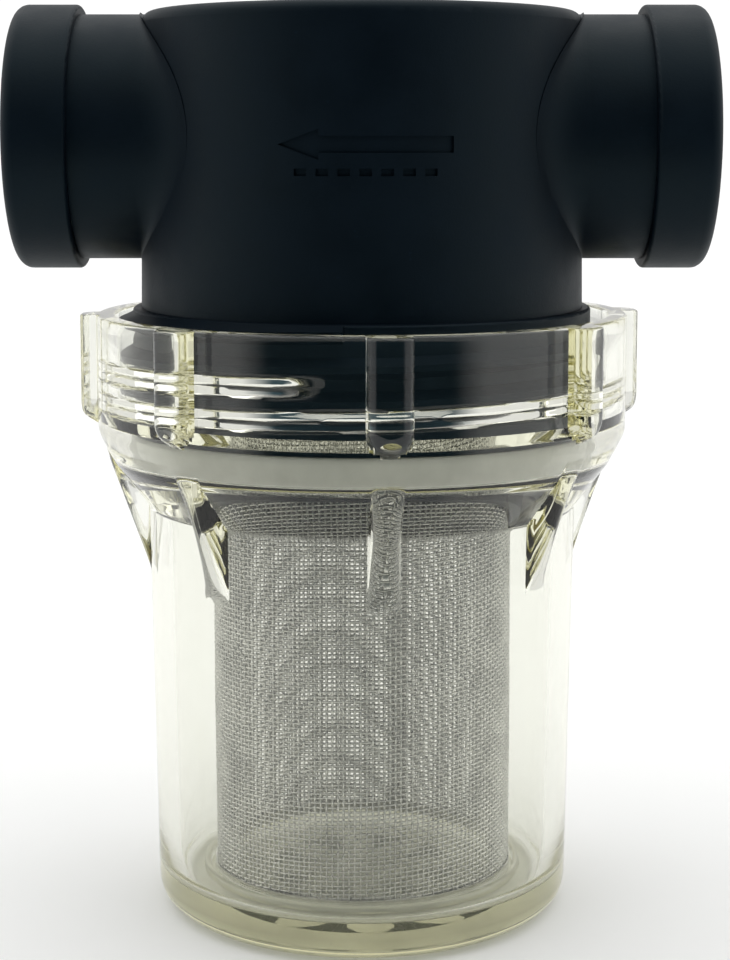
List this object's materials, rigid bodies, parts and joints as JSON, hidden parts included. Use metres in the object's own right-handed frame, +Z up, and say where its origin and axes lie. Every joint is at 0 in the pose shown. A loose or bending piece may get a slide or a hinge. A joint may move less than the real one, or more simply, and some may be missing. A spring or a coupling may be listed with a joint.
{
  "type": "inline water strainer",
  "caption": "Tee-shaped inline water strainer with a clear screw-on bowl and a woven wire screen tube.",
  "frame": {"origin": "centre of the face that the bowl stands on", "axes": "+Z up along the bowl's axis to the head; X along the two ports, water entering at +X and leaving at -X; -Y is the front with the arrow"},
  "size_m": [0.09, 0.0744, 0.1198],
  "materials": {
    "head_plastic": "fine moulded texture, satin black",
    "clear_plastic": "clear moulded plastic with a faint yellow-green tint",
    "silicone": "light grey silicone",
    "black_rubber": "matte black rubber",
    "wire_cloth": "woven stainless wire",
    "stainless_rim": "folded stainless strip"
  },
  "bodies": {
    "head": {"head_body": "head_plastic", "screen_seat_gasket": "black_rubber"},
    "screen": {"screen_mesh": "wire_cloth", "screen_seam_strip": "wire_cloth", "screen_top_rim": "stainless_rim", "screen_bottom_rim": "stainless_rim"},
    "bowl": {"bowl": "clear_plastic", "bowl_sealing_ring": "silicone"}
  },
  "joints": [
    {"name": "bowl_travel", "type": "slide", "parent": "head", "child": "screen", "axis": [0, 0, -1], "range_m": [0, 0.00615]},
    {"name": "bowl_turn", "type": "hinge", "parent": "screen", "child": "bowl", "pos_m": [0, 0, 0], "axis": [0, 0, -1], "range_deg": [0, 540]}
  ],
  "couplings": [
    {"joint": "bowl_travel", "follows": "bowl_turn", "m_per_rad": 0.00065254}
  ]
}
